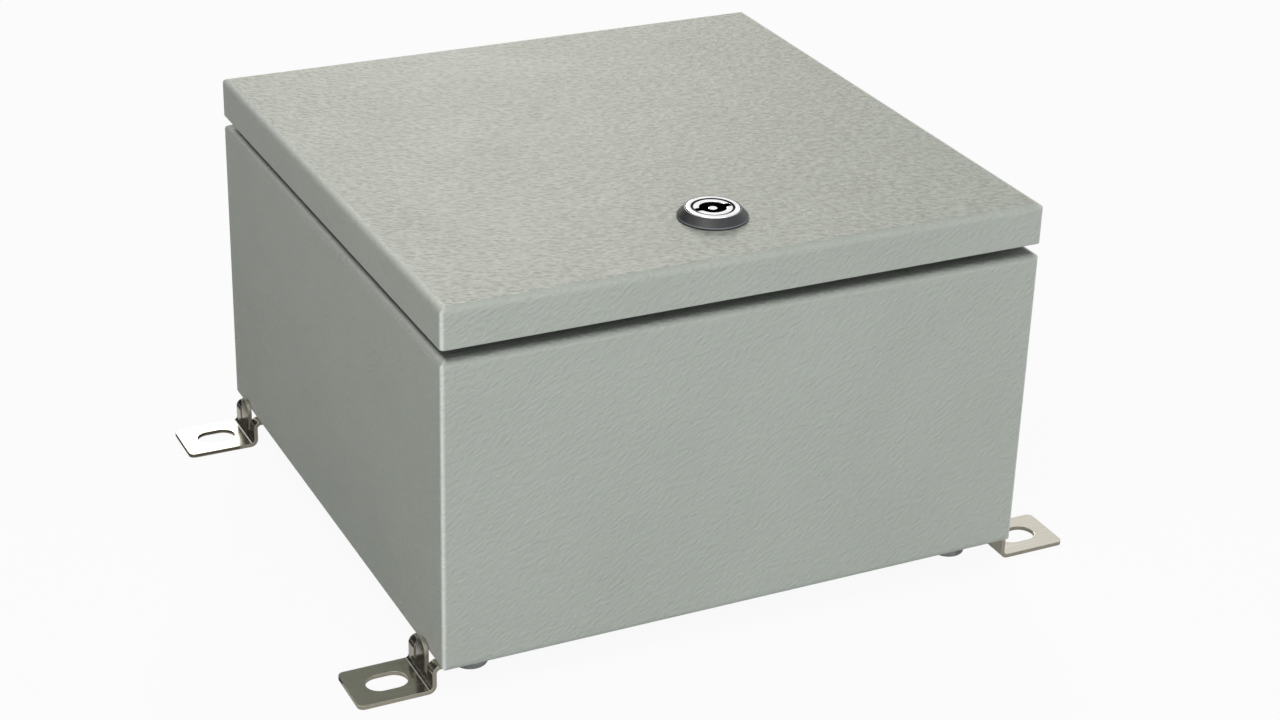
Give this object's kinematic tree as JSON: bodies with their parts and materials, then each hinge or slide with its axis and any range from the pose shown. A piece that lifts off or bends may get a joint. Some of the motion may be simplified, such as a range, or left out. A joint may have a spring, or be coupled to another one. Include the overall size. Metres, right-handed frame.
{
  "type": "electrical enclosure",
  "caption": "Wall-mounting sheet-steel electrical enclosure with a hinged, gasketed door, quarter-turn cam lock, inner mounting plate and slotted stainless wall brackets.",
  "frame": {"origin": "middle of the wall plane, which is the underside of the four bracket feet", "axes": "+X along the lock-side edge, +Y from the lock side to the hinge side, +Z from the wall to the door's face"},
  "size_m": [0.3746, 0.3, 0.199],
  "materials": {
    "grey_paint": "fine textured powder coat, light grey",
    "stainless_steel": "rolled stainless sheet, satin",
    "zinc_plated_steel": "bright zinc plating",
    "galvanised_steel": "hot-dip galvanised sheet",
    "seal_rubber": "black rubber",
    "gasket_foam": "foamed-in-place polyurethane, skinned",
    "black_plastic": "satin moulded black plastic",
    "chrome": "polished chrome on die-cast zinc"
  },
  "bodies": {
    "cabinet": {"body_shell": "grey_paint", "bracket_front_left": "stainless_steel", "bracket_front_right": "stainless_steel", "bracket_rear_left": "stainless_steel", "bracket_rear_right": "stainless_steel", "bracket_bolts": "zinc_plated_steel", "bracket_seals": "seal_rubber", "bracket_nuts": "zinc_plated_steel", "mounting_plate": "galvanised_steel", "plate_studs": "zinc_plated_steel", "plate_spacers": "zinc_plated_steel", "plate_washers": "zinc_plated_steel", "plate_nuts": "zinc_plated_steel", "body_earth_stud": "zinc_plated_steel", "body_earth_washer": "zinc_plated_steel", "body_earth_nut": "zinc_plated_steel", "body_hinge_leaf_left": "zinc_plated_steel", "body_hinge_leaf_right": "zinc_plated_steel", "hinge_rivets": "zinc_plated_steel", "hinge_pin_left": "zinc_plated_steel", "hinge_pin_right": "zinc_plated_steel"},
    "door": {"door_panel": "grey_paint", "door_gasket": "gasket_foam", "door_hinge_leaf_left": "zinc_plated_steel", "door_hinge_leaf_right": "zinc_plated_steel", "door_earth_stud": "zinc_plated_steel", "door_earth_washer": "zinc_plated_steel", "door_earth_nut": "zinc_plated_steel", "lock_bezel": "black_plastic", "lock_seal": "seal_rubber", "lock_housing": "chrome", "lock_nut": "zinc_plated_steel"},
    "lock": {"lock_rotor": "chrome", "lock_cam": "zinc_plated_steel", "cam_washer": "zinc_plated_steel", "cam_screw": "zinc_plated_steel"}
  },
  "joints": [
    {"name": "door_hinge", "type": "hinge", "parent": "cabinet", "child": "door", "pos_m": [0, 0.145, 0.178], "axis": [-1, 0, 0], "range_deg": [0, 120]},
    {"name": "lock_turn", "type": "hinge", "parent": "door", "child": "lock", "pos_m": [0, -0.1055, 0.18], "axis": [0, 0, -1], "range_deg": [0, 90]}
  ]
}
